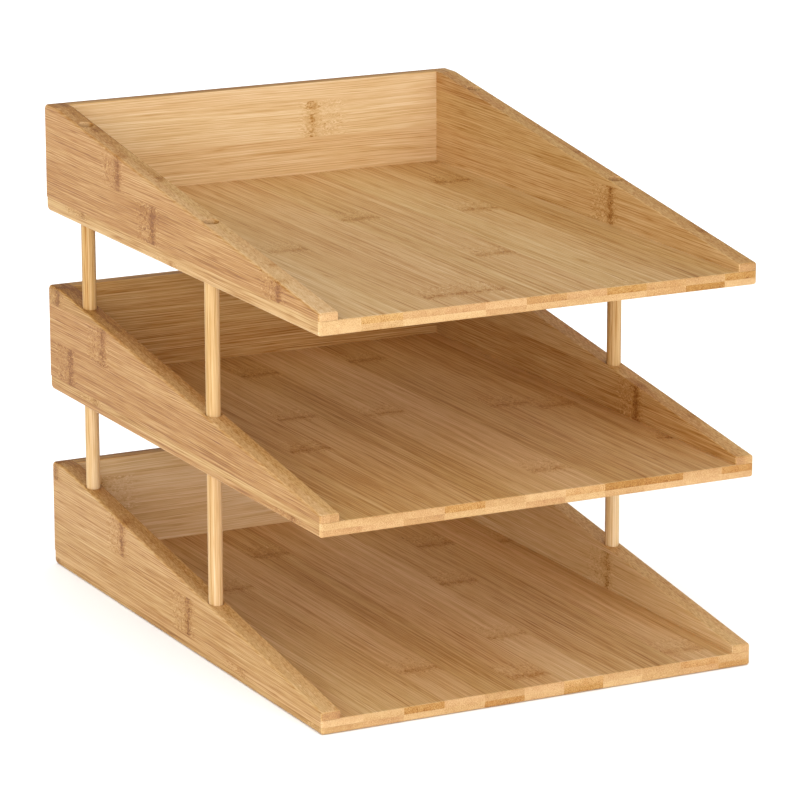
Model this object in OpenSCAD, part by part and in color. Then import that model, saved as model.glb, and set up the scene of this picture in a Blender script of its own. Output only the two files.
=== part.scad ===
// Three-tier stacking letter tray in bamboo.
// Three identical trays stand on one another on loose round posts. Each tray is
// a floor board that carries two sloping side walls and a back panel.
// Frame: X is the width, Y the depth with the back at +Y, Z up. The origin is
// the centre of the footprint, on the surface that the stack stands on.

/* [Tray] */
// Outside width of a tray
tray_w = 247; // [236:1:320]
// Outside depth of a tray, front to back
tray_d = 341; // [320:1:400]
// Height of a tray at its back
tray_h = 59; // [52:0.5:80]
// Height of a side wall's front end above the floor board
lip_h = 4; // [2.5:0.1:8]
// Level stretch at the back of a side wall's top
level_len = 15; // [12:1:30]

/* [Boards] */
// Thickness of the floor board
floor_t = 7.5; // [6:0.5:10]
// Thickness of a side wall
side_t = 10.5; // [10:0.5:14]
// Thickness of the back panel
back_t = 10.5; // [10:0.5:14]
// How far the floor board stops short of the back of the side walls
floor_inset = 0.8; // [0:0.1:2]

/* [Stacking posts] */
// Height from one tray's underside to the next tray's underside
tier_pitch = 101; // [85:1:140]
// Diameter of a post
post_d = 7.7; // [6:0.1:8]
// Radial gap between a post and its socket
post_gap = 0.1; // [0.05:0.05:0.3]
// Distance of the front posts from the front edge
front_post = 135; // [120:1:160]
// Distance of the back posts from the front edge
back_post = 295; // [250:1:300]
// Depth of the sockets in the sloping tops, on the post's axis
top_socket = 10; // [6:0.5:12]
// Depth of the sockets in a tray's underside
under_socket = 12; // [9:0.5:14]

/* [Edges] */
// Radius of the back corners of the side walls and the back panel
back_r = 3; // [1:0.5:4]
// Radius of the blend between the level and the sloping top
blend_r = 20; // [5:1:40]
// Radius of the boards' corners, seen from above
corner_r = 1.4; // [1:0.1:3]
// Radius of the boards' front edges, top and bottom
edge_r = 1; // [0.5:0.1:1.5]

/* [Fixings] */
// Overall length of a countersunk screw
screw_len = 20; // [16:1:20]
// Shank diameter of a screw
screw_d = 3.5; // [3:0.5:4]
// Head diameter of a screw
head_d = 7; // [6.5:0.5:8]
// Diameter of a dowel pin between a side wall and the back panel
pin_d = 6; // [5:1:6]
// Overall length of a dowel pin
pin_len = 28; // [20:1:40]

/* [Hidden] */

$fn = 64;
eps = 0.01;                             // lets a cut run past a face
arc_steps = 8;                          // straight steps in a rounded corner

front = -tray_d / 2;                    // Y of the front edge
half_w = tray_w / 2;
inner_w = tray_w - 2 * side_t;          // clear width between the side walls
lip_top = floor_t + lip_h;              // height of the front ends' tops
slope_len = tray_d - level_len;
rise = (tray_h - lip_top) / slope_len;  // slope of the side walls' tops

post_x = half_w - side_t / 2;           // the posts stand in the walls' middles
socket_d = post_d + 2 * post_gap;
post_chamfer = 0.5;

screw_sink = 0.3;                       // screw heads lie this far below the face
head_h = (head_d - screw_d) / 2;        // a 90 degree countersink
point_h = 4;                            // tapered point of a screw
bore_slack = 0.1;                       // radial gap of a screw in the floor board
recess_d = 4;                           // cross recess of a screw head
recess_w = 0.9;
recess_h = 1.4;
wall_screws = [85, 215, 318];           // distances from the front edge
panel_screws = [-70, 70];               // places along the width
panel_screw_y = tray_d - floor_inset - back_r - head_d / 2 - bore_slack; // clear of the round edge
panel_y = tray_d - back_t / 2;          // middle of the back panel's thickness

pin_in_side = 7.5;                      // length of a pin inside a side wall
pin_chamfer = 0.6;
pin_margin = 12;                        // from a pin to the panel's foot or top
pin_heights = [floor_t + pin_margin, tray_h - pin_margin];

side_color = "#cda573";
back_color = "#deb484";
floor_color = "#e6c08f";
post_color = "#dfbb8c";
screw_color = "#b9bcc0";
pin_color = "#c89b66";

// Height of a side wall's sloping top at a distance y from the front edge
function top_z(y) = lip_top + rise * min(y, slope_len);

function unit(v) = v / norm(v);

// Points of an arc of radius r that rounds the corner b of the path a, b, c
function rounded(a, b, c, r) =
    let (u = unit(a - b),
         v = unit(c - b),
         half = acos(u * v) / 2,
         centre = b + unit(u + v) * r / sin(half),
         from = unit(b + u * r / tan(half) - centre),
         to = unit(b + v * r / tan(half) - centre))
    [for (i = [0:arc_steps])
        centre + r * unit(from + (to - from) * i / arc_steps)];

// Side wall seen from its side: X is the distance from the front edge
module side_profile() {
    foot = [0, floor_t];
    heel = [tray_d, floor_t];
    back_top = [tray_d, tray_h];
    bend = [slope_len, tray_h];
    lip = [0, lip_top];
    polygon(concat(
        [foot, heel],
        rounded(heel, back_top, bend, back_r),
        rounded(back_top, bend, lip, blend_r),
        rounded(bend, lip, foot, edge_r)
    ));
}

// Floor board seen from its side
module floor_profile() {
    back_end = tray_d - floor_inset;
    front_low = [0, 0];
    back_low = [back_end, 0];
    back_high = [back_end, floor_t];
    front_high = [0, floor_t];
    polygon(concat(
        rounded(front_high, front_low, back_low, edge_r),
        rounded(front_low, back_low, back_high, back_r),
        [back_high, front_high]
    ));
}

// Back panel seen from its side
module back_profile() {
    foot = [tray_d - back_t, floor_t];
    heel = [tray_d, floor_t];
    back_top = [tray_d, tray_h];
    front_top = [tray_d - back_t, tray_h];
    polygon(concat(
        [foot, heel],
        rounded(heel, back_top, front_top, back_r),
        rounded(back_top, front_top, foot, edge_r)
    ));
}

// A profile drawn from the side, run from x by a width w
module across(x, w) {
    translate([x, front, 0])
        rotate([90, 0, 90])
            linear_extrude(w)
                children();
}

// Outline of a tray from above, with round corners, as a tall block
module plan_block() {
    linear_extrude(tray_h) {
        square([tray_w - 2 * corner_r, tray_d], center = true);
        square([tray_w, tray_d - 2 * corner_r], center = true);
        for (sx = [-1, 1], sy = [-1, 1])
            translate([sx * (half_w - corner_r), sy * (tray_d / 2 - corner_r)])
                circle(corner_r);
    }
}

// Puts its child at the four post axes of a tray
module at_posts() {
    for (sx = [-1, 1], y = [front_post, back_post])
        translate([sx * post_x, front + y, 0])
            children();
}

// Sockets that open in the underside
module under_sockets() {
    at_posts()
        translate([0, 0, -eps])
            cylinder(d = socket_d, h = under_socket + eps);
}

// Sockets that open in the sloping tops
module top_sockets() {
    for (sx = [-1, 1], y = [front_post, back_post])
        translate([sx * post_x, front + y, top_z(y) - top_socket])
            cylinder(d = socket_d, h = tray_h);
}

// Puts its child at each screw, on the underside of a tray
module at_screws() {
    for (sx = [-1, 1], y = wall_screws)
        translate([sx * post_x, front + y, 0])
            children();
    for (x = panel_screws)
        translate([x, front + panel_screw_y, 0])
            children();
}

// Countersunk screw, point up, with its head just inside the underside
module screw() {
    shank_top = screw_len - point_h;
    translate([0, 0, screw_sink])
        difference() {
            union() {
                cylinder(d1 = head_d, d2 = screw_d, h = head_h);
                cylinder(d = screw_d, h = shank_top);
                translate([0, 0, shank_top])
                    cylinder(d1 = screw_d, d2 = screw_d / 4, h = point_h);
            }
            for (turn = [0, 90])
                rotate(turn)
                    translate([-recess_d / 2, -recess_w / 2, -eps])
                        cube([recess_d, recess_w, recess_h + eps]);
        }
}

// Clearance hole and countersink of a screw in the floor board
module screw_bore() {
    wide = head_d + 2 * bore_slack;
    narrow = screw_d + 2 * bore_slack;
    translate([0, 0, -eps]) {
        cylinder(d = wide, h = screw_sink + eps);
        cylinder(d = narrow, h = floor_t + 2 * eps);
    }
    translate([0, 0, screw_sink])
        cylinder(d1 = wide, d2 = narrow, h = head_h);
}

// Pilot hole of a screw in a wall that stands on the floor board
module screw_pilot() {
    cylinder(d = screw_d, h = screw_sink + screw_len);
}

// Round rod with a small chamfer at each end
module rod(d, h, chamfer) {
    tip_d = d - 2 * chamfer;
    cylinder(d1 = tip_d, d2 = d, h = chamfer);
    translate([0, 0, chamfer])
        cylinder(d = d, h = h - 2 * chamfer);
    translate([0, 0, h - chamfer])
        cylinder(d1 = d, d2 = tip_d, h = chamfer);
}

// Puts its child at each dowel pin, its Z axis running inwards from the wall
module at_pins() {
    for (sx = [-1, 1], z = pin_heights)
        translate([sx * (inner_w / 2 + pin_in_side), front + panel_y, z])
            rotate([0, -90 * sx, 0])
                children();
}

module pin_bores() {
    at_pins()
        cylinder(d = pin_d, h = pin_len);
}

module floor_board() {
    color(floor_color)
        difference() {
            intersection() {
                across(-half_w, tray_w)
                    floor_profile();
                plan_block();
            }
            under_sockets();
            at_screws()
                screw_bore();
        }
}

// Side wall: side is -1 for the left wall and 1 for the right one
module side_wall(side) {
    color(side_color)
        difference() {
            intersection() {
                across(side * post_x - side_t / 2, side_t)
                    side_profile();
                plan_block();
            }
            under_sockets();
            top_sockets();
            at_screws()
                screw_pilot();
            pin_bores();
        }
}

module back_panel() {
    color(back_color)
        difference() {
            across(-inner_w / 2, inner_w)
                back_profile();
            at_screws()
                screw_pilot();
            pin_bores();
        }
}

module screws() {
    color(screw_color)
        at_screws()
            screw();
}

module dowel_pins() {
    color(pin_color)
        at_pins()
            rod(pin_d, pin_len, pin_chamfer);
}

// Post between two trays: sx is -1 left or 1 right, y its distance from the front
module post(sx, y) {
    foot = top_z(y) - top_socket;
    head = tier_pitch + under_socket;
    color(post_color)
        translate([sx * post_x, front + y, foot])
            rod(post_d, head - foot, post_chamfer);
}

// Moves its child up to a tier: 0 is the bottom one
module tier(n) {
    translate([0, 0, n * tier_pitch])
        children();
}

tier(0) floor_board();  // bottom_floor
tier(0) side_wall(-1);  // bottom_left_side
tier(0) side_wall(1);  // bottom_right_side
tier(0) back_panel();  // bottom_back_panel
tier(0) screws();  // bottom_screws
tier(0) dowel_pins();  // bottom_dowel_pins
tier(0) post(-1, front_post);  // lower_post_front_left
tier(0) post(1, front_post);  // lower_post_front_right
tier(0) post(-1, back_post);  // lower_post_back_left
tier(0) post(1, back_post);  // lower_post_back_right
tier(1) floor_board();  // middle_floor
tier(1) side_wall(-1);  // middle_left_side
tier(1) side_wall(1);  // middle_right_side
tier(1) back_panel();  // middle_back_panel
tier(1) screws();  // middle_screws
tier(1) dowel_pins();  // middle_dowel_pins
tier(1) post(-1, front_post);  // upper_post_front_left
tier(1) post(1, front_post);  // upper_post_front_right
tier(1) post(-1, back_post);  // upper_post_back_left
tier(1) post(1, back_post);  // upper_post_back_right
tier(2) floor_board();  // top_floor
tier(2) side_wall(-1);  // top_left_side
tier(2) side_wall(1);  // top_right_side
tier(2) back_panel();  // top_back_panel
tier(2) screws();  // top_screws
tier(2) dowel_pins();  // top_dowel_pins
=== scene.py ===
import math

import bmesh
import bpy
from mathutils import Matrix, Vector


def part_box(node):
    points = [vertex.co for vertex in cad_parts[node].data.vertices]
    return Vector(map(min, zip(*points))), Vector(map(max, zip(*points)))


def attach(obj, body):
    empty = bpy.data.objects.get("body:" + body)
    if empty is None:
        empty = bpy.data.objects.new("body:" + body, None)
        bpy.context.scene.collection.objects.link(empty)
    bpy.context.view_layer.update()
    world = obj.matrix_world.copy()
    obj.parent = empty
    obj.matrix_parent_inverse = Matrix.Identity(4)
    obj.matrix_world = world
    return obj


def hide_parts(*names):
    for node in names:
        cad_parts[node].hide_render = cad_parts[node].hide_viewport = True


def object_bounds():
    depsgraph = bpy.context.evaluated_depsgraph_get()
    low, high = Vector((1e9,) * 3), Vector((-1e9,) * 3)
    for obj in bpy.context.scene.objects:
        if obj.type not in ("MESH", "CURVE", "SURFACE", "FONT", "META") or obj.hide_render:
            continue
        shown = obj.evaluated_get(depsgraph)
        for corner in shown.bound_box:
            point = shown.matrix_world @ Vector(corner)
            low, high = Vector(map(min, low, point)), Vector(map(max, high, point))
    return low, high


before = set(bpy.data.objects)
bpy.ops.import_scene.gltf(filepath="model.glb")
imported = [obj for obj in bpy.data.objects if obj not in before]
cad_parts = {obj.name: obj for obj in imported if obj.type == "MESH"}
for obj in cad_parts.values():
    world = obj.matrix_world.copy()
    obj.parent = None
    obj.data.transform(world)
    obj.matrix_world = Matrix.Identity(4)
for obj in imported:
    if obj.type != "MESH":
        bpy.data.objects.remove(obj)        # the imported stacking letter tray: bodies, nodes, joints, record

# A stacking letter tray in bamboo. The boards and posts are rebuilt here with eased edges and open
# sockets, in the places that the frame gives, and each board has its own procedural bamboo. The
# screws and dowel pins keep their CAD shapes. Lengths are in metres, except in the bamboo, where
# the grain is laid out in millimetres.

cad_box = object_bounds()

# The design's sizes that a node's box doesn't give
LIP_H = 0.0040           # height of a side wall's front end above the floor board
LEVEL_LEN = 0.015        # level stretch at the back of a side wall's top
BACK_R = 0.003           # back corners of the boards
BLEND_R = 0.020          # blend between a side wall's level and sloping top
SOCKET_R = 0.00395
UNDER_SOCKET = 0.012     # depth of the sockets in the undersides
SCREW_HEAD_R = 0.0036    # countersinks, a little wider than the screw heads
SCREW_HOLE_R = 0.00185
SCREW_SINK = 0.0003      # straight part at the mouth of a countersink
WALL_SCREWS = (0.085, 0.215, 0.318)      # distances from the front edge
PANEL_SCREWS = (-0.070, 0.070)           # places along the width
SEAT_GAP = 0.00005       # hairline between a post's end and the floor of its socket
CUT_PAST = 0.001         # how far a cut goes on beyond a face, to open it cleanly

# Easing of the edges
OUTER_R = 0.0014         # outer edges of the side walls and the floor board
INNER_R = 0.0005         # inner edges of the side walls' tops
EDGE_R = 0.0006          # front edges of the floor board and the back panel
LEAST_R = 0.0001         # what a rounding keeps where a board's end closes in on it
RIM_R = 0.0005           # mouths of the sockets and ends of the posts
ARC_STEPS = 6            # steps in the rounding of an edge
ROUND_SIDES = 48         # sides of the posts and sockets
FLAT_AREA = 0.0018 ** 2  # faces larger than this lie on a flat side, smaller ones on an eased edge
SHARP_ANGLE = 40         # degrees

TRAYS = ("bottom", "middle", "top")
STOREYS = ("lower", "upper")
CORNERS = ("front_left", "front_right", "back_left", "back_right")

# Seeds of the canes, for the first piece of each kind
FLOOR_SEED = 11
SIDE_SEEDS = {"left": 21, "right": 31}
BACK_SEED = 41
POST_SEED = 51
PIN_SEED = 90


# ---------------------------------------------------------------------------------- shapes

def rounded(a, b, c, r):
    """Points of an arc of radius r that rounds the corner b of the path a, b, c."""
    u = (a - b).normalized()
    v = (c - b).normalized()
    half = u.angle(v) / 2
    centre = b + (u + v).normalized() * r / math.sin(half)
    start = b + u * r / math.tan(half) - centre
    end = b + v * r / math.tan(half) - centre
    points = []
    for i in range(ARC_STEPS + 1):
        points.append(centre + start.lerp(end, i / ARC_STEPS).normalized() * r)
    return points


def inset_radius(r, inset):
    """Radius of a corner of an outline that lies this far inside the full outline."""
    return max(r - inset, LEAST_R)


def mesh_object(name, bm, material):
    """A new object in the scene with the mesh bm, which is used up."""
    bmesh.ops.recalc_face_normals(bm, faces=bm.faces)
    mesh = bpy.data.meshes.new(name)
    bm.to_mesh(mesh)
    bm.free()
    mesh.materials.append(material)
    piece = bpy.data.objects.new(name, mesh)
    bpy.context.scene.collection.objects.link(piece)
    return piece


def end_sections(x, inwards, r):
    """Places and insets of the sections that round a board's end face at x by the radius r."""
    if r == 0:
        return [(x, 0.0)]
    sections = []
    for i in range(ARC_STEPS + 1):
        turn = math.pi / 2 * i / ARC_STEPS
        sections.append((x + inwards * r * (1 - math.cos(turn)), r * (1 - math.sin(turn))))
    return sections


def lofted_board(name, outline, x_lo, x_hi, r_lo, r_hi, material):
    """A board along X. outline(inset) gives its closed outline as (y, z) points."""
    sections = end_sections(x_lo, 1, r_lo) + end_sections(x_hi, -1, r_hi)[::-1]
    bm = bmesh.new()
    rings = []
    for x, inset in sections:
        rings.append([bm.verts.new((x, p.x, p.y)) for p in outline(inset)])
    for ring, following in zip(rings, rings[1:]):
        for i in range(len(ring)):
            bm.faces.new((ring[i - 1], ring[i], following[i], following[i - 1]))
    bm.faces.new(rings[0])
    bm.faces.new(rings[-1][::-1])
    return mesh_object(name, bm, material)


def lathe(bm, profile, place):
    """A closed solid turned about Z from (radius, height) points, low end first, then placed."""
    rings = []
    for r, z in profile:
        ring = []
        for i in range(ROUND_SIDES):
            turn = 2 * math.pi * i / ROUND_SIDES
            ring.append(bm.verts.new(place @ Vector((r * math.cos(turn), r * math.sin(turn), z))))
        rings.append(ring)
    for ring, following in zip(rings, rings[1:]):
        for i in range(ROUND_SIDES):
            bm.faces.new((ring[i - 1], ring[i], following[i], following[i - 1]))
    bm.faces.new(rings[0][::-1])
    bm.faces.new(rings[-1])


def cut(piece, solids):
    """Cuts turned solids that don't touch each other, given as (profile, placement), out of a piece."""
    bm = bmesh.new()
    for profile, place in solids:
        lathe(bm, profile, place)
    cutter = mesh_object("cutter", bm, piece.data.materials[0])
    boolean = piece.modifiers.new("cut", "BOOLEAN")
    boolean.operation = "DIFFERENCE"
    boolean.solver = "EXACT"
    boolean.object = cutter
    depsgraph = bpy.context.evaluated_depsgraph_get()
    mesh = bpy.data.meshes.new_from_object(piece.evaluated_get(depsgraph), depsgraph=depsgraph)
    piece.modifiers.clear()
    piece.data = mesh
    bpy.data.objects.remove(cutter)


def finish_shading(piece):
    """Smooth eased edges beside flat faces, and a mark on the points that touch no flat face."""
    mesh = piece.data
    eased = mesh.attributes.new("eased", "FLOAT", "POINT")
    flat_points = set()
    for face in mesh.polygons:
        if face.area > FLAT_AREA:
            flat_points.update(face.vertices)
    for i in range(len(mesh.vertices)):
        eased.data[i].value = 0.0 if i in flat_points else 1.0
    mesh.shade_smooth()
    mesh.set_sharp_from_angle(angle=math.radians(SHARP_ANGLE))
    weighted = piece.modifiers.new("normals", "WEIGHTED_NORMAL")
    weighted.keep_sharp = True


# ---------------------------------------------------------------------------------- places

def post_centre(corner):
    """The middle of the post at this corner, which the posts of both storeys share in plan."""
    lo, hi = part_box("lower_post_" + corner)
    return (lo + hi) / 2


def tray_base(tray):
    """Height of a tray's underside."""
    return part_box(tray + "_floor")[0].z


FLOOR_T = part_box("bottom_floor")[1].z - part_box("bottom_floor")[0].z
SIDE_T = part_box("bottom_left_side")[1].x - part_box("bottom_left_side")[0].x
FRONT_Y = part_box("bottom_floor")[0].y
TRAY_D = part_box("bottom_floor")[1].y - FRONT_Y
TRAY_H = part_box("bottom_left_side")[1].z


def socket_floor(corner):
    """Height of the bottom of a sloping top's socket above its tray's underside."""
    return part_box("lower_post_" + corner)[0].z


def slope_rise():
    """Rise of a side wall's sloping top for each metre along Y."""
    lo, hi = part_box("bottom_left_side")
    return (TRAY_H - FLOOR_T - LIP_H) / (hi.y - LEVEL_LEN - lo.y)


# ---------------------------------------------------------------------------------- bamboo

class Graph:
    """Builds a material's nodes. Numbers and sockets can be mixed as inputs."""

    def __init__(self, name):
        self.material = bpy.data.materials.new(name)
        self.material.use_nodes = True
        self.tree = self.material.node_tree
        self.shader = self.tree.nodes["Principled BSDF"]

    def node(self, kind, inputs, **settings):
        made = self.tree.nodes.new(kind)
        for key, value in settings.items():
            setattr(made, key, value)
        for key, value in inputs.items():
            if isinstance(value, bpy.types.NodeSocket):
                self.tree.links.new(value, made.inputs[key])
            else:
                made.inputs[key].default_value = value
        return made

    def math(self, operation, a, b=0.0, c=0.0):
        return self.node("ShaderNodeMath", {0: a, 1: b, 2: c}, operation=operation).outputs[0]

    def sum(self, *terms):
        total = terms[0]
        for term in terms[1:]:
            total = self.math("ADD", total, term)
        return total

    def scaled(self, value, factor, offset=0.0):
        return self.math("MULTIPLY_ADD", value, factor, offset)

    def vector(self, x, y, z):
        return self.node("ShaderNodeCombineXYZ", {0: x, 1: y, 2: z}).outputs[0]

    def noise(self, vector, detail=2.0, roughness=0.5):
        inputs = {"Vector": vector, "Scale": 1.0, "Detail": detail, "Roughness": roughness}
        return self.node("ShaderNodeTexNoise", inputs, noise_dimensions="3D").outputs[0]

    def cells(self, vector):
        inputs = {"Vector": vector, "Scale": 1.0}
        return self.node("ShaderNodeTexVoronoi", inputs, feature="F1").outputs["Distance"]

    def random(self, vector):
        return self.node("ShaderNodeTexWhiteNoise", {"Vector": vector}).outputs["Color"]

    def parts(self, vector):
        return self.node("ShaderNodeSeparateXYZ", {0: vector}).outputs

    def step(self, value, low, high):
        inputs = {"Value": value, "From Min": low, "From Max": high}
        made = self.node("ShaderNodeMapRange", inputs, interpolation_type="SMOOTHSTEP")
        return made.outputs[0]

    def bell(self, value, width):
        """1 where value is 0, falling to nothing some widths away."""
        ratio = self.math("DIVIDE", value, width)
        return self.math("EXPONENT", self.scaled(self.math("MULTIPLY", ratio, ratio), -1.0))

    def ramp(self, value, stops):
        made = self.node("ShaderNodeValToRGB", {0: value})
        elements = made.color_ramp.elements
        while len(elements) < len(stops):
            elements.new(0.5)
        for element, (place, colour) in zip(elements, stops):
            element.position = place
            element.color = (*colour, 1.0)
        return made.outputs[0]


# Bamboo from its darkest fibres to its palest flesh, as linear colours: pinkish and yellowish canes
PINK_BAMBOO = (
    (0.00, (0.230, 0.075, 0.012)),
    (0.25, (0.395, 0.168, 0.038)),
    (0.50, (0.560, 0.318, 0.126)),
    (0.75, (0.690, 0.445, 0.232)),
    (1.00, (0.800, 0.580, 0.370)),
)
YELLOW_BAMBOO = (
    (0.00, (0.210, 0.078, 0.010)),
    (0.25, (0.380, 0.184, 0.036)),
    (0.50, (0.545, 0.332, 0.117)),
    (0.75, (0.670, 0.458, 0.215)),
    (1.00, (0.790, 0.595, 0.350)),
)
END_TINT = (0.62, 0.45, 0.31, 1.0)       # cut ends are a little duller

# Places on the two ramps, from 0 to 1
BASE_LEVEL = 0.62        # plain long grain
END_LEVEL = -0.15        # what cut ends add
# The narrow edges' level is painted shade on a board's narrow level faces, such as the tops of the side walls
# and back panels
EDGE_SHADE_LEVEL = -0.13       # what a board's narrow edges add

# An object's axes (0, 1, 2) along the fibres, across a layer's strips and through the two layers
FLOOR_AXES = (1, 0, 2)
SIDE_AXES = (1, 2, 0)
BACK_AXES = (0, 2, 1)
POST_AXES = (2, 0, 1)
PIN_AXES = (0, 2, 1)

# Sizes in the bamboo, in millimetres
MM = 1000.0              # millimetres in a metre
STRIP_W = 20.6           # strips of the side walls and back panels
FLOOR_STRIP_W = 22.8
WHOLE_CANE = (60.0, 60.0)                # strip size for the posts and pins, which are of one piece
ROD_MARGIN = 5.0         # keeps a post clear of the edge of its strip
RING_SPACING = 340.0     # from one ring of a cane to the next
CLOSE_RINGS = {"top_left_side": 151.0}   # the one board where a strip shows two rings

# Distances of the rings from the front, or from the left on a back panel, strip by strip from below
RINGS = {
    "bottom_left_side": (159.0, 245.0, 336.0),
    "middle_left_side": (311.0, 266.0, 328.0),
    "top_left_side": (197.0, 242.0, 360.0),
    "bottom_right_side": (131.0, 339.0, 338.0),
    "middle_right_side": (102.0, 336.0, 338.0),
    "top_right_side": (131.0, 338.0, 340.0),
    "bottom_back_panel": (280.0, 15.0, 285.0),
    "middle_back_panel": (275.0, 290.0, 280.0),
    "top_back_panel": (280.0, 147.0, 285.0),
}

# How much paler or darker than most each board is: partly the board's own tone and partly painted light and
# shade, such as painted bounce light on the bottom back panel and bottom right wall and painted shade on the
# middle back panel under the top tray. On a back panel this holds for the front layer.
TONES_AND_PAINTED_LIGHT = {
    "bottom_floor": 0.02,
    "middle_floor": -0.04,
    "top_floor": 0.00,
    "bottom_left_side": -0.12,
    "middle_left_side": -0.20,
    "top_left_side": -0.20,
    "bottom_right_side": 0.22,
    "middle_right_side": -0.06,
    "top_right_side": -0.05,
    "bottom_back_panel": 0.30,
    "middle_back_panel": -0.16,
    "top_back_panel": 0.20,
    "lower_post": 0.18,
    "upper_post": -0.01,
    "dowel_pins": -0.04,
}
SECOND_LAYERS = {"left": -0.06, "right": 0.0}    # tone of a side wall's right layer against its left one

# How much paler or darker a side wall's sloping top is than its faces, at the front and at the back: partly
# the top's own tone and partly painted light and shade, with painted shade deepening towards the back under
# the tray above
CREST_LIGHT_AND_SHADE = {
    "bottom_left_side": (0.14, -0.15),
    "middle_left_side": (0.26, -0.23),
    "top_left_side": (0.32, -0.10),
    "bottom_right_side": (-0.24, -0.50),
    "middle_right_side": (-0.08, -0.40),
    "top_right_side": (-0.18, -0.20),
}

# How much paler or darker the low front end of a side wall is than most cut ends
LIPS = {
    "bottom_left_side": -0.10,
    "middle_left_side": 0.12,
    "top_left_side": 0.30,
    "bottom_right_side": -0.22,
    "middle_right_side": -0.10,
    "top_right_side": -0.12,
}


class Bamboo(Graph):
    """The grain of laminated bamboo. u, v and w run along the three axes, from start. strip is a
    strip's width and thickness."""

    def __init__(self, name, axes, strip, start, seed):
        super().__init__(name)
        self.axes = axes
        self.strip_w, self.ply_t = strip
        place = self.parts(self.node("ShaderNodeTexCoord", {}).outputs["Object"])
        self.u, self.v, self.w = [self.scaled(place[axis], MM, -begin) for axis, begin in zip(axes, start)]
        self.find_canes(seed)

    def find_canes(self, seed):
        """Each strip of each layer comes from another cane, and may lie with its skin up or down."""
        self.strip_at = self.math("DIVIDE", self.v, self.strip_w)
        self.ply_at = self.math("DIVIDE", self.w, self.ply_t)
        self.number = self.math("MAXIMUM", self.math("FLOOR", self.strip_at), 0.0)
        self.layer = self.math("MINIMUM", self.math("MAXIMUM", self.math("FLOOR", self.ply_at), 0.0), 1.0)
        self.cane = self.parts(self.random(self.vector(self.number, self.layer, seed)))
        flipped = self.math("GREATER_THAN", self.cane[2], 0.5)
        depth = self.math("SUBTRACT", self.ply_at, self.layer)
        self.skin = self.math("ABSOLUTE", self.math("SUBTRACT", flipped, depth))

    def find_rings(self, rings, spacing):
        """Distance along the fibres from the cane's nearest ring. rings gives the places of the rings
        in the first layer's strips."""
        shift = self.scaled(self.cane[1], spacing)
        if rings:
            ring_at = self.math("MULTIPLY", shift, self.layer)
            for i, ring in enumerate(rings):
                before = rings[i - 1] if i else 0.0
                past = self.math("GREATER_THAN", self.number, i - 0.5)
                ring_at = self.math("ADD", ring_at, self.scaled(past, ring - before))
        else:
            ring_at = shift
        self.to_ring = self.math("WRAP", self.math("SUBTRACT", self.u, ring_at), spacing / 2, -spacing / 2)

    def bend_fibres(self):
        """The fibres drift a little, and tangle beside a ring, more on one side of it."""
        self.near = self.bell(self.to_ring, 6.0)
        rising = self.step(self.to_ring, -2.0, 1.0)
        fading = self.math("SUBTRACT", 1.0, self.step(self.to_ring, 6.0, 26.0))
        self.tangled = self.math("MULTIPLY", fading, rising)
        along = self.math("DIVIDE", self.u, 160.0)
        across = self.math("DIVIDE", self.v, 40.0)
        drift_at = self.vector(along, across, self.scaled(self.cane[2], 50.0))
        drift = self.scaled(self.noise(drift_at, 1.0), 3.6, -1.8)
        swirl_at = self.stretched(self.u, self.v, self.w, 3.2, 1.8)
        swirl_size = self.math("MAXIMUM", self.tangled, self.near)
        swirl = self.math("MULTIPLY", swirl_size, self.scaled(self.noise(swirl_at, 1.0), 9.0, -4.5))
        kink = self.scaled(self.bell(self.to_ring, 3.0), 0.9)
        self.side = self.sum(self.v, drift, swirl, kink, self.scaled(self.cane[0], 200.0))
        self.deep = self.math("ADD", self.w, self.scaled(swirl, 0.4))

    def stretched(self, along, across, through, length, width):
        """A place in a pattern whose grains have this length and width."""
        return self.vector(self.math("DIVIDE", along, length), self.math("DIVIDE", across, width),
                           self.math("DIVIDE", through, width))

    def fibres(self, length, width, detail):
        return self.noise(self.stretched(self.u, self.side, self.deep, length, width), detail)

    def draw_fibres(self):
        """Fibres from broad bands to fine threads, and bundles that are denser towards the skin."""
        self.broad = self.fibres(260.0, 5.0, 1.0)
        self.streaks = self.fibres(260.0, 1.5, 1.0)
        self.threads = self.fibres(80.0, 0.60, 1.0)
        shown = self.step(self.fibres(42.0, 2.4, 1.0), 0.38, 0.60)
        lines = self.bell(self.math("SUBTRACT", self.fibres(60.0, 1.0, 0.0), 0.5), 0.05)
        self.lines = self.math("MULTIPLY", lines, shown)
        self.fine = self.fibres(14.0, 0.42, 1.0)
        bundle_cells = self.cells(self.stretched(self.u, self.side, self.deep, 45.0, 0.8))
        bundle_size = self.scaled(self.skin, 0.26, 0.12)
        outside = self.step(bundle_cells, self.scaled(bundle_size, 0.5), bundle_size)
        self.bundles = self.math("SUBTRACT", 1.0, outside)

    def draw_ring(self):
        """A ragged column of short dark dashes, with flecks among the tangled fibres."""
        across = self.math("DIVIDE", self.v, 1.1)
        through = self.math("DIVIDE", self.w, 1.1)
        ragged = self.noise(self.vector(self.scaled(self.cane[0], 90.0), across, through), 2.0)
        from_line = self.math("ADD", self.to_ring, self.scaled(ragged, 9.0, -4.5))
        dashes = self.step(self.fibres(9.0, 0.75, 0.0), 0.40, 0.58)
        self.ring = self.math("MULTIPLY", self.bell(from_line, 2.6), self.scaled(dashes, 0.7, 0.3))
        fleck_grain = self.noise(self.stretched(self.u, self.side, self.w, 2.6, 0.9), 1.0)
        fleck_zone = self.math("MAXIMUM", self.bell(self.to_ring, 4.0), self.scaled(self.tangled, 0.6))
        self.flecks = self.math("MULTIPLY", self.step(fleck_grain, 0.50, 0.62), fleck_zone)

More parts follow.
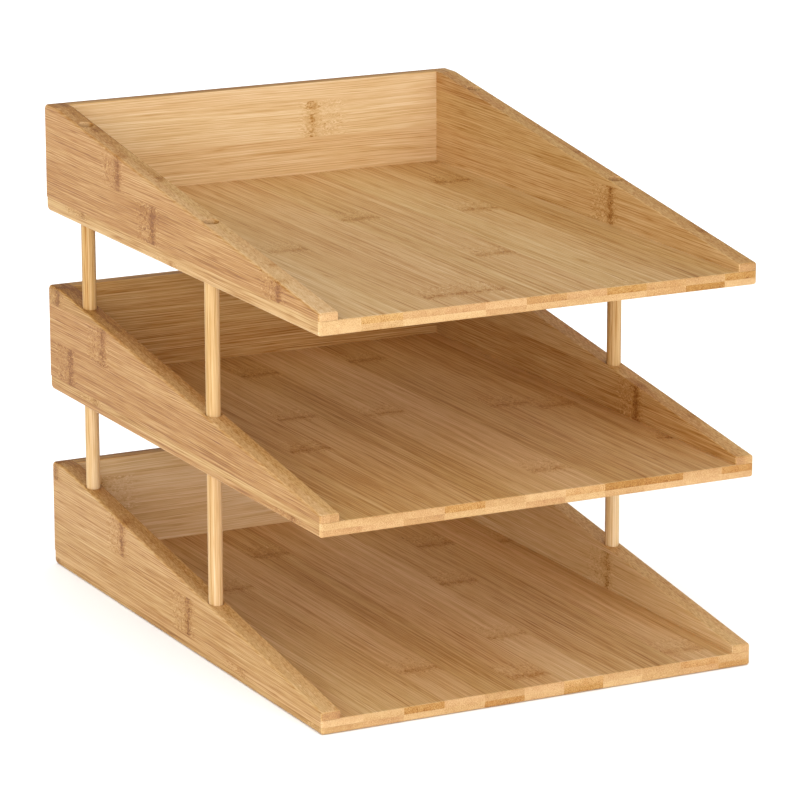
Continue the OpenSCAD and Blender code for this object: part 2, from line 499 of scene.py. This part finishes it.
    def draw_glue(self):
        """Glue lines between the strips and between the layers."""
        to_strip = self.math("PINGPONG", self.strip_at, 0.5)
        to_layer = self.math("PINGPONG", self.ply_at, 0.5)
        strip_line = self.math("SUBTRACT", 1.0, self.step(to_strip, 0.0, 0.15 / self.strip_w))
        layer_line = self.math("SUBTRACT", 1.0, self.step(to_layer, 0.0, 0.12 / self.ply_t))
        self.glue = self.math("MAXIMUM", strip_line, layer_line)

    def find_faces(self):
        """Where the surface cuts across the fibres, straight or at a slant, and where it is an edge."""
        normal = self.parts(self.node("ShaderNodeNewGeometry", {}).outputs["Normal"])
        across_fibres = self.math("ABSOLUTE", normal[self.axes[0]])
        self.slanted = self.step(across_fibres, 0.03, 0.13)
        self.ends = self.step(across_fibres, 0.5, 0.9)
        self.flank = self.step(self.math("ABSOLUTE", normal[self.axes[1]]), 0.5, 0.9)
        self.dense = self.step(self.cane[2], 0.70, 0.90)
        self.eased = self.node("ShaderNodeAttribute", {}, attribute_name="eased").outputs["Fac"]

    def paint(self, level, open_ends):
        """Colour from the level, pinkish or yellowish from cane to cane, and duller on open ends.
        A colour mix has its two colours in sockets 6 and 7 and its result in socket 2."""
        hue = self.math("ADD", self.scaled(self.cane[1], 0.5), self.scaled(self.broad, 0.5))
        mix = {0: hue, 6: self.ramp(level, PINK_BAMBOO), 7: self.ramp(level, YELLOW_BAMBOO)}
        colour = self.node("ShaderNodeMix", mix, data_type="RGBA").outputs[2]
        dull = {0: self.scaled(open_ends, 0.16), 6: colour, 7: END_TINT}
        colour = self.node("ShaderNodeMix", dull, data_type="RGBA").outputs[2]
        self.tree.links.new(colour, self.shader.inputs["Base Color"])

    def lacquer(self):
        """Thin satin lacquer that sinks a little into the open fibres."""
        rough = self.sum(0.46, self.scaled(self.fine, 0.16, -0.08), self.scaled(self.bundles, 0.06),
                         self.scaled(self.flecks, 0.12))
        self.tree.links.new(rough, self.shader.inputs["Roughness"])
        height = self.sum(self.scaled(self.fine, 0.4), self.scaled(self.lines, -0.4),
                          self.scaled(self.flecks, -0.6), self.scaled(self.glue, -0.8))
        bump = self.node("ShaderNodeBump", {"Height": height, "Strength": 0.4, "Distance": 0.00008})
        self.tree.links.new(bump.outputs[0], self.shader.inputs["Normal"])
        self.shader.inputs["Specular IOR Level"].default_value = 0.22


def bamboo(name, axes, strip, start, seed, tone_and_painted_light=0.0, variety=0.08, rings=(), spacing=RING_SPACING,
           second_layer=0.0, crest_light_and_shade=(0.0, 0.0), lip=0.0, marks=1.0, blocks=0.0, edge_shade=EDGE_SHADE_LEVEL):
    """A material of laminated bamboo. name to seed are as in Bamboo, rings and spacing as in
    find_rings. These are tones, 0 for no change: tone_and_painted_light for the whole board, which is
    partly its own tone and partly painted light and shade, second_layer for that layer against the
    first, crest_light_and_shade for a side wall's sloping top at the front and at the back, its own tone
    with painted light and shade that darkens towards the back, lip for cut ends, and edge_shade for the
    painted shade on narrow edges. variety is the difference between strips, marks how strong the
    rings are, and blocks how dark the ends of the densest canes are."""
    g = Bamboo(name, axes, strip, start, seed)
    g.find_rings(rings, spacing)
    g.bend_fibres()
    g.draw_fibres()
    g.draw_ring()
    g.draw_glue()
    g.find_faces()

    # Cut ends show darker and in more contrast, and a slanting cut blurs what runs along the fibres
    along_fibres = g.scaled(g.slanted, -0.50, 1.0)
    strips = g.math("MULTIPLY", g.scaled(g.cane[0], 2 * variety, -variety), g.scaled(g.ends, 0.3, 1.0))
    streaks = g.scaled(g.streaks, 0.14, -0.07)
    threads = g.scaled(g.threads, 0.90, -0.45)
    figure = g.sum(streaks, threads, g.scaled(g.lines, -0.18))
    fine = g.math("MULTIPLY", g.scaled(g.fine, 0.40, -0.20), g.scaled(g.slanted, 0.8, 1.0))
    dots = g.math("MULTIPLY", g.ends, g.scaled(g.dense, 0.36 * blocks, 0.10))
    ring_marks = g.sum(g.scaled(g.ring, -0.30 * marks), g.scaled(g.flecks, -0.24 * marks))
    # Painted light and shade on a side wall's sloping top, with its own tone: the level runs from the front
    # value to the back value, darker towards the back where the tray above shades it
    crest_light_and_shade_level = g.scaled(g.u, (crest_light_and_shade[1] - crest_light_and_shade[0]) / (MM * TRAY_D), crest_light_and_shade[0])
    # Painted shade on a board's narrow level faces, such as its top edge
    shaded_flank = g.math("MULTIPLY", g.flank, g.math("SUBTRACT", 1.0, g.slanted))
    level = g.sum(
        BASE_LEVEL + tone_and_painted_light,
        strips,
        g.scaled(g.broad, 0.20, -0.10),
        g.math("MULTIPLY", figure, along_fibres),
        fine,
        g.math("MULTIPLY", g.bundles, g.scaled(dots, -1.0, -0.06)),
        g.scaled(g.math("MULTIPLY", g.ends, g.dense), -0.10 * blocks),
        g.scaled(g.skin, -0.05),
        g.scaled(g.near, -0.05),
        g.math("MULTIPLY", ring_marks, along_fibres),
        g.math("MULTIPLY", g.glue, g.scaled(g.slanted, 0.12, -0.05)),
        g.math("MULTIPLY", g.math("MULTIPLY", g.flank, g.slanted), crest_light_and_shade_level),
        g.scaled(shaded_flank, edge_shade),
        g.scaled(g.ends, END_LEVEL + lip),
        g.scaled(g.layer, second_layer),
        # Eased edges a little paler: sanded wear, and partly a painted highlight along the rounded edges
        g.scaled(g.eased, 0.05),
    )
    g.paint(level, g.math("MULTIPLY", g.ends, g.scaled(g.dense, -blocks, 1.0)))
    g.lacquer()
    return g.material


def zinc(name):
    """Zinc-plated steel, mottled in tone and gloss."""
    g = Graph(name)
    place = g.node("ShaderNodeTexCoord", {}).outputs["Object"]
    scaled = g.node("ShaderNodeVectorMath", {0: place, 3: 2500.0}, operation="SCALE")
    spots = g.noise(scaled.outputs[0], 3.0)
    colour = g.ramp(spots, ((0.3, (0.36, 0.36, 0.37)), (0.7, (0.60, 0.60, 0.58))))
    g.tree.links.new(colour, g.shader.inputs["Base Color"])
    g.tree.links.new(g.scaled(spots, 0.25, 0.22), g.shader.inputs["Roughness"])
    g.shader.inputs["Metallic"].default_value = 1.0
    return g.material


# ---------------------------------------------------------------------------------- pieces

def dress(piece, node, body):
    """A piece that stands for a CAD node and rides on its body."""
    finish_shading(piece)
    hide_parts(node)
    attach(piece, body)


def under_socket_cut(corner, base):
    """A socket in an underside, with its eased mouth."""
    centre = post_centre(corner)
    profile = [
        (SOCKET_R + 2 * RIM_R, -RIM_R),
        (SOCKET_R, RIM_R),
        (SOCKET_R, UNDER_SOCKET),
    ]
    return (profile, Matrix.Translation((centre.x, centre.y, base)))


def top_socket_cut(corner, base):
    """A socket in a sloping top."""
    centre = post_centre(corner)
    place = Matrix.Translation((centre.x, centre.y, base + socket_floor(corner)))
    return ([(SOCKET_R, 0.0), (SOCKET_R, TRAY_H)], place)


def mouth_cut(corner, base):
    """A countersink square to the slope that eases the mouth of a socket in a sloping top."""
    rise = slope_rise()
    centre = post_centre(corner)
    mouth = base + FLOOR_T + LIP_H + rise * (centre.y - FRONT_Y)
    place = Matrix.Translation((centre.x, centre.y, mouth))
    profile = [(SOCKET_R - RIM_R, -2 * RIM_R), (SOCKET_R + 2 * RIM_R, RIM_R)]
    return (profile, place @ Matrix.Rotation(math.atan(rise), 4, "X"))


def screw_cuts(base):
    """The holes and countersinks of a tray's screws in its floor board."""
    side_x = post_centre("front_right").x
    panel_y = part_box("bottom_floor")[1].y - BACK_R - SCREW_HEAD_R
    places = [(x, FRONT_Y + y) for x in (-side_x, side_x) for y in WALL_SCREWS]
    places += [(x, panel_y) for x in PANEL_SCREWS]
    sunk = SCREW_SINK + SCREW_HEAD_R - SCREW_HOLE_R
    profile = [
        (SCREW_HEAD_R, -CUT_PAST),
        (SCREW_HEAD_R, SCREW_SINK),
        (SCREW_HOLE_R, sunk),
        (SCREW_HOLE_R, FLOOR_T + CUT_PAST),
    ]
    return [(profile, Matrix.Translation((x, y, base))) for x, y in places]


def make_floor(tray, seed):
    """A tray's floor board, with the sockets and screw holes in its underside."""
    node = tray + "_floor"
    lo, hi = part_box(node)

    def outline(inset):
        front_high = Vector((lo.y + inset, hi.z))
        front_low = Vector((lo.y + inset, lo.z + inset))
        back_low = Vector((hi.y - inset, lo.z + inset))
        back_high = Vector((hi.y - inset, hi.z))
        points = rounded(back_high, front_high, front_low, EDGE_R)
        points += rounded(front_high, front_low, back_low, inset_radius(OUTER_R, inset))
        points += rounded(front_low, back_low, back_high, inset_radius(BACK_R, inset))
        return points + [back_high]

    start = [MM * low for low in (lo.y, lo.x, lo.z)]
    strip = (FLOOR_STRIP_W, MM * FLOOR_T / 2)
    material = bamboo(node, FLOOR_AXES, strip, start, seed, TONES_AND_PAINTED_LIGHT[node], marks=0.5, blocks=1.0)
    piece = lofted_board("floor_board_" + tray, outline, lo.x, hi.x, OUTER_R, OUTER_R, material)
    cut(piece, [under_socket_cut(corner, lo.z) for corner in CORNERS] + screw_cuts(lo.z))
    dress(piece, node, tray + "_tray")


def make_side(tray, side, seed):
    """A side wall, level at the back and sloping to a low front end, with its four sockets."""
    node = f"{tray}_{side}_side"
    lo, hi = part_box(node)
    base = tray_base(tray)
    rise = slope_rise()
    drop = 1 / math.cos(math.atan(rise))      # how far the slope drops for each inset

    def outline(inset):
        level = hi.z - inset
        lip = lo.z + LIP_H - inset * drop
        bend_y = lo.y + (level - lip) / rise
        foot = Vector((lo.y + inset, lo.z))
        heel = Vector((hi.y - inset, lo.z))
        back_top = Vector((hi.y - inset, level))
        bend = Vector((bend_y, level))
        tip = Vector((lo.y + inset, lip + rise * inset))
        points = [foot, heel]
        points += rounded(heel, back_top, bend, inset_radius(BACK_R, inset))
        points += rounded(back_top, bend, tip, BLEND_R)
        points += rounded(bend, tip, foot, inset_radius(OUTER_R, inset))
        return points

    radii = (OUTER_R, INNER_R) if side == "left" else (INNER_R, OUTER_R)
    start = [MM * low for low in (lo.y, lo.z, lo.x)]
    strip = (STRIP_W, MM * SIDE_T / 2)
    spacing = CLOSE_RINGS.get(node, RING_SPACING)
    material = bamboo(node, SIDE_AXES, strip, start, seed, TONES_AND_PAINTED_LIGHT[node], variety=0.06,
                      rings=RINGS[node], spacing=spacing, second_layer=SECOND_LAYERS[side],
                      crest_light_and_shade=CREST_LIGHT_AND_SHADE[node], lip=LIPS[node])
    piece = lofted_board(f"side_wall_{tray}_{side}", outline, lo.x, hi.x, *radii, material)
    corners = [corner for corner in CORNERS if corner.endswith(side)]
    cut(piece, [under_socket_cut(corner, base) for corner in corners])
    cut(piece, [top_socket_cut(corner, base) for corner in corners])
    cut(piece, [mouth_cut(corner, base) for corner in corners])
    dress(piece, node, tray + "_tray")


def make_back(tray, seed):
    """A back panel, which stands on the floor board between the side walls."""
    node = tray + "_back_panel"
    lo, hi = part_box(node)

    def outline(inset):
        foot = Vector((lo.y, lo.z))
        heel = Vector((hi.y, lo.z))
        back_top = Vector((hi.y, hi.z))
        front_top = Vector((lo.y, hi.z))
        points = [foot, heel]
        points += rounded(heel, back_top, front_top, BACK_R)
        return points + rounded(back_top, front_top, foot, EDGE_R)

    start = [MM * low for low in (lo.x, lo.z, lo.y)]
    strip = (STRIP_W, MM * SIDE_T / 2)

    # The front layer's tone holds painted bounce light on the bottom panel and painted shade on the middle
    # one; the second layer and the top edge take it back out, so they are nearly alike on all three trays,
    # and the top edge keeps a painted shade
    material = bamboo(node, BACK_AXES, strip, start, seed, TONES_AND_PAINTED_LIGHT[node], variety=0.03,
                      rings=RINGS[node], second_layer=-0.8 * TONES_AND_PAINTED_LIGHT[node], edge_shade=-0.22 - TONES_AND_PAINTED_LIGHT[node])
    piece = lofted_board("back_board_" + tray, outline, lo.x, hi.x, 0, 0, material)
    dress(piece, node, tray + "_tray")


def make_post(storey, corner, seed):
    """A round post with eased ends."""
    node = f"{storey}_post_{corner}"
    lo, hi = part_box(node)
    r = (hi.x - lo.x) / 2
    length = hi.z - lo.z - 2 * SEAT_GAP
    profile = [(r - RIM_R, 0.0)]
    for end, sign in ((0.0, 1), (length, -1)):
        bow = []
        for i in range(1, ARC_STEPS + 1):
            turn = math.pi / 2 * i / ARC_STEPS
            bow.append((r - RIM_R * (1 - math.sin(turn)), end + sign * RIM_R * (1 - math.cos(turn))))
        profile += bow if sign == 1 else bow[::-1]
    profile.append((r - RIM_R, length))
    bm = bmesh.new()
    lathe(bm, profile, Matrix.Translation(((lo.x + hi.x) / 2, (lo.y + hi.y) / 2, lo.z + SEAT_GAP)))
    start = (MM * lo.z, MM * lo.x - ROD_MARGIN, MM * lo.y - ROD_MARGIN)
    material = bamboo(node, POST_AXES, WHOLE_CANE, start, seed, TONES_AND_PAINTED_LIGHT[storey + "_post"])
    piece = mesh_object(f"post_{storey}_{corner}", bm, material)
    dress(piece, node, storey + "_posts")


def dress_fixings():
    """Screws and pins keep their CAD meshes and get their materials."""
    steel = zinc("screw_steel")
    tone_and_painted_light = TONES_AND_PAINTED_LIGHT["dowel_pins"]
    for i, tray in enumerate(TRAYS):
        pins = bamboo(tray + "_pins", PIN_AXES, WHOLE_CANE, (0.0, 0.0, 0.0), PIN_SEED + i, tone_and_painted_light)
        for node, material in ((tray + "_screws", steel), (tray + "_dowel_pins", pins)):
            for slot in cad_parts[node].material_slots:
                slot.material = material


for number, tray in enumerate(TRAYS):
    make_floor(tray, FLOOR_SEED + number)
    make_side(tray, "left", SIDE_SEEDS["left"] + number)
    make_side(tray, "right", SIDE_SEEDS["right"] + number)
    make_back(tray, BACK_SEED + number)
for number, storey in enumerate(STOREYS):
    for turn, corner in enumerate(CORNERS):
        make_post(storey, corner, POST_SEED + len(CORNERS) * number + turn)
dress_fixings()


# ---------------------------------------------------------------------------------- studio

STUDIO_R = 12.0
FLOOR_DROP = 0.0002      # keeps the studio floor off the underside's own plane
WORLD_LEVEL = 0.60       # light of the world at its horizon, left and right
WORLD_SLOPE = (0.0, -0.40, 0.40)         # and how it grows towards +X, +Y and +Z

CAMERA_PLACE = (-1.0075, -1.9846, 0.6856)
CAMERA_YAW = 27.085      # degrees from +Y towards +X
CAMERA_PITCH = -14.315   # degrees above the horizon
CAMERA_ROLL = 0.138
CAMERA_LENS = 193.89     # millimetres, on a sensor 36 mm wide


def make_floor_plane():
    """The plain pale floor that the stack stands on."""
    g = Graph("studio_floor")
    place = g.node("ShaderNodeTexCoord", {}).outputs["Object"]
    mottle = g.noise(place, 2.0)
    colour = g.ramp(mottle, ((0.0, (0.90, 0.90, 0.90)), (1.0, (0.93, 0.93, 0.93))))
    g.tree.links.new(colour, g.shader.inputs["Base Color"])
    g.shader.inputs["Roughness"].default_value = 0.9
    bm = bmesh.new()
    bmesh.ops.create_circle(bm, cap_ends=True, segments=64, radius=STUDIO_R)
    plane = mesh_object("studio_floor", bm, g.material)
    plane.location.z = cad_box[0].z - FLOOR_DROP
    return plane


def place_lamp(name, data, place):
    """Puts a lamp at a place, turned towards the middle of the stack."""
    lamp = bpy.data.objects.new(name, data)
    middle = (cad_box[0] + cad_box[1]) / 2
    lamp.location = place
    lamp.rotation_euler = (middle - Vector(place)).to_track_quat("-Z", "Y").to_euler()
    bpy.context.scene.collection.objects.link(lamp)
    return lamp


def make_softbox(name, place, size, watts):
    data = bpy.data.lights.new(name, "AREA")
    data.shape = "RECTANGLE"
    data.size, data.size_y = size
    data.energy = watts
    place_lamp(name, data, place)


def light_backdrop(plane, strength):
    """A wide soft light from above that reaches only the studio floor, to keep it white."""
    data = bpy.data.lights.new("backdrop_light", "SUN")
    data.energy = strength
    data.angle = math.radians(70)
    data.color = (0.93, 0.97, 1.0)
    lamp = place_lamp("backdrop_light", data, (0.0, 0.0, 3.0))
    lit = bpy.data.collections.new("backdrop")
    lit.objects.link(plane)
    lamp.light_linking.receiver_collection = lit


def make_world():
    """Soft studio light, brighter from the front and from above than from behind and below."""
    world = bpy.data.worlds.new("studio")
    world.use_nodes = True
    tree = world.node_tree
    coords = tree.nodes.new("ShaderNodeTexCoord")
    level = tree.nodes.new("ShaderNodeVectorMath")
    level.operation = "DOT_PRODUCT"
    level.inputs[1].default_value = WORLD_SLOPE
    strength = tree.nodes.new("ShaderNodeMath")
    strength.inputs[1].default_value = WORLD_LEVEL
    background = tree.nodes["Background"]
    tree.links.new(coords.outputs["Generated"], level.inputs[0])
    tree.links.new(level.outputs["Value"], strength.inputs[0])
    tree.links.new(strength.outputs[0], background.inputs["Strength"])
    background.inputs["Color"].default_value = (1.0, 1.0, 1.0, 1.0)
    bpy.context.scene.world = world


def make_camera():
    """A long lens from the front left, a little above the stack."""
    data = bpy.data.cameras.new("camera")
    data.sensor_width = 36.0
    data.lens = CAMERA_LENS
    data.clip_end = 60.0
    camera = bpy.data.objects.new("camera", data)
    camera.location = CAMERA_PLACE
    yaw = math.radians(CAMERA_YAW)
    pitch = math.radians(CAMERA_PITCH)
    roll = math.radians(CAMERA_ROLL)
    ahead = Vector((math.sin(yaw) * math.cos(pitch), math.cos(yaw) * math.cos(pitch), math.sin(pitch)))
    camera.rotation_mode = "QUATERNION"
    look = ahead.to_track_quat("-Z", "Y")
    camera.rotation_quaternion = look @ Matrix.Rotation(-roll, 3, "Z").to_quaternion()
    bpy.context.scene.collection.objects.link(camera)
    bpy.context.scene.camera = camera


make_world()
light_backdrop(make_floor_plane(), 2.0)
make_softbox("front_softbox", (-0.4, -2.4, 0.45), (1.8, 1.2), 20.0)
make_softbox("left_softbox", (-2.2, -1.3, 1.0), (1.2, 1.2), 18.5)
make_camera()
bpy.context.scene.view_settings.view_transform = "Standard"
